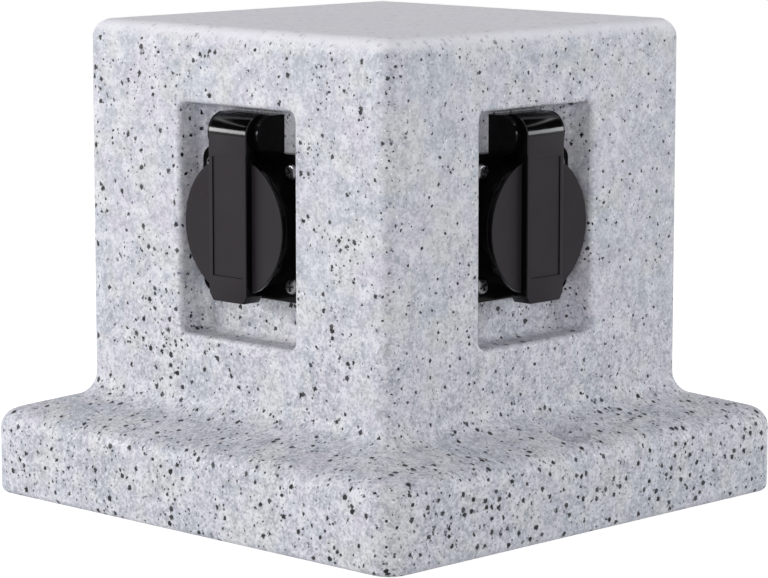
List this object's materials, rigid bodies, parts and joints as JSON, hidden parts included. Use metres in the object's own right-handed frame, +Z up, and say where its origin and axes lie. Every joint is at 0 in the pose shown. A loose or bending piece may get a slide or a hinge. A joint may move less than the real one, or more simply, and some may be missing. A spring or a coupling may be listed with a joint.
{
  "type": "garden socket",
  "caption": "Square granite-effect garden power post on a flared base, with a recessed, hinged-lid socket in each side.",
  "frame": {"origin": "under the middle of the base, on the ground", "axes": "+Z up, -Y out of the front socket, +X out of the right socket"},
  "size_m": [0.198, 0.198, 0.1681],
  "materials": {
    "granite_effect": "moulded granite effect, light grey with black and white specks",
    "black_plastic": "satin to gloss black",
    "screw_steel": "bright zinc",
    "seal_rubber": "matt black",
    "contact_brass": "plain",
    "terminal_plastic": "matt off-white",
    "lead_insulation": "smooth insulation"
  },
  "bodies": {
    "housing": {"stone_housing": "granite_effect", "base_plate": "black_plastic", "base_plate_gasket": "seal_rubber", "base_plate_screws": "screw_steel", "terminal_block": "terminal_plastic", "terminal_block_screws": "screw_steel", "terminal_clamp_screws": "contact_brass", "cable_grommet": "seal_rubber", "front_socket_body": "black_plastic", "front_flange_gasket": "seal_rubber", "front_flange_screws": "screw_steel", "front_contact_sleeves": "contact_brass", "front_earth_clip": "contact_brass", "front_rear_cover": "black_plastic", "front_socket_leads": "lead_insulation", "front_hinge_pin": "screw_steel", "front_hinge_spring": "screw_steel", "right_socket_body": "black_plastic", "right_flange_gasket": "seal_rubber", "right_flange_screws": "screw_steel", "right_contact_sleeves": "contact_brass", "right_earth_clip": "contact_brass", "right_rear_cover": "black_plastic", "right_socket_leads": "lead_insulation", "right_hinge_pin": "screw_steel", "right_hinge_spring": "screw_steel", "back_socket_body": "black_plastic", "back_flange_gasket": "seal_rubber", "back_flange_screws": "screw_steel", "back_contact_sleeves": "contact_brass", "back_earth_clip": "contact_brass", "back_rear_cover": "black_plastic", "back_socket_leads": "lead_insulation", "back_hinge_pin": "screw_steel", "back_hinge_spring": "screw_steel", "left_socket_body": "black_plastic", "left_flange_gasket": "seal_rubber", "left_flange_screws": "screw_steel", "left_contact_sleeves": "contact_brass", "left_earth_clip": "contact_brass", "left_rear_cover": "black_plastic", "left_socket_leads": "lead_insulation", "left_hinge_pin": "screw_steel", "left_hinge_spring": "screw_steel"},
    "front_lid_body": {"front_lid": "black_plastic", "front_lid_seal": "seal_rubber"},
    "right_lid_body": {"right_lid": "black_plastic", "right_lid_seal": "seal_rubber"},
    "back_lid_body": {"back_lid": "black_plastic", "back_lid_seal": "seal_rubber"},
    "left_lid_body": {"left_lid": "black_plastic", "left_lid_seal": "seal_rubber"}
  },
  "joints": [
    {"name": "front_lid_hinge", "type": "hinge", "parent": "housing", "child": "front_lid_body", "pos_m": [0.002, -0.0705, 0.1326], "axis": [-1, 0, 0], "range_deg": [0, 100], "stiffness_Nm_per_rad": 0.02, "springref_deg": -34.38},
    {"name": "right_lid_hinge", "type": "hinge", "parent": "housing", "child": "right_lid_body", "pos_m": [0.0705, -0.002, 0.1326], "axis": [0, -1, 0], "range_deg": [0, 100], "stiffness_Nm_per_rad": 0.02, "springref_deg": -34.38},
    {"name": "back_lid_hinge", "type": "hinge", "parent": "housing", "child": "back_lid_body", "pos_m": [-0.002, 0.0705, 0.1326], "axis": [1, 0, 0], "range_deg": [0, 100], "stiffness_Nm_per_rad": 0.02, "springref_deg": -34.38},
    {"name": "left_lid_hinge", "type": "hinge", "parent": "housing", "child": "left_lid_body", "pos_m": [-0.0705, 0.002, 0.1326], "axis": [0, 1, 0], "range_deg": [0, 100], "stiffness_Nm_per_rad": 0.02, "springref_deg": -34.38}
  ]
}
